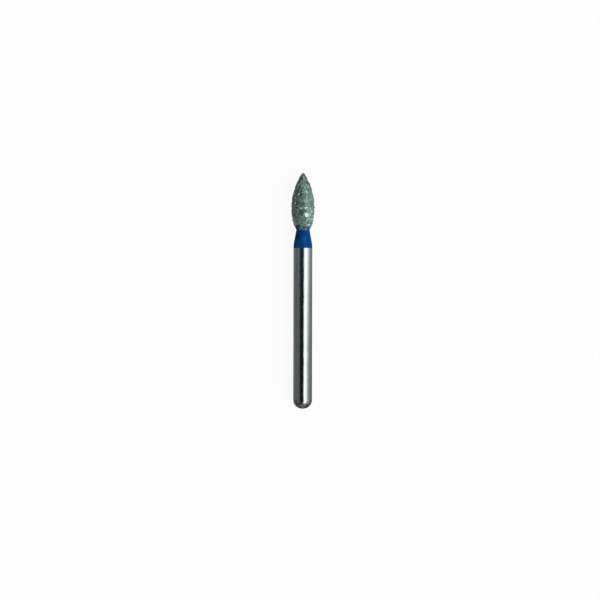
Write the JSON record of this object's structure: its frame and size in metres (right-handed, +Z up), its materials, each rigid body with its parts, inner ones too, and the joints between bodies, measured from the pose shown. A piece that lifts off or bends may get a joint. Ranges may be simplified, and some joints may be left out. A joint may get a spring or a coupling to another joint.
{
  "type": "dental bur",
  "caption": "Friction grip dental bur with a pointed flame head coated in diamond grit, a tapered neck with a blue colour ring and a plain round shank.",
  "frame": {"origin": "middle of the lying bur's footprint, on the table under it", "axes": "+Y along the bur towards its tip, +Z up from the table, +X to the right when looking along +Y"},
  "size_m": [0.002, 0.02, 0.0019],
  "materials": {
    "shank_steel": "stainless steel, ground round the axis and polished",
    "diamond_grit": "rough grey-green diamond grit bound in plated nickel",
    "blue_lacquer": "glossy dark blue lacquer"
  },
  "bodies": {
    "root": {"steel_blank": "shank_steel", "diamond_layer": "diamond_grit", "colour_band": "blue_lacquer"}
  },
  "joints": []
}
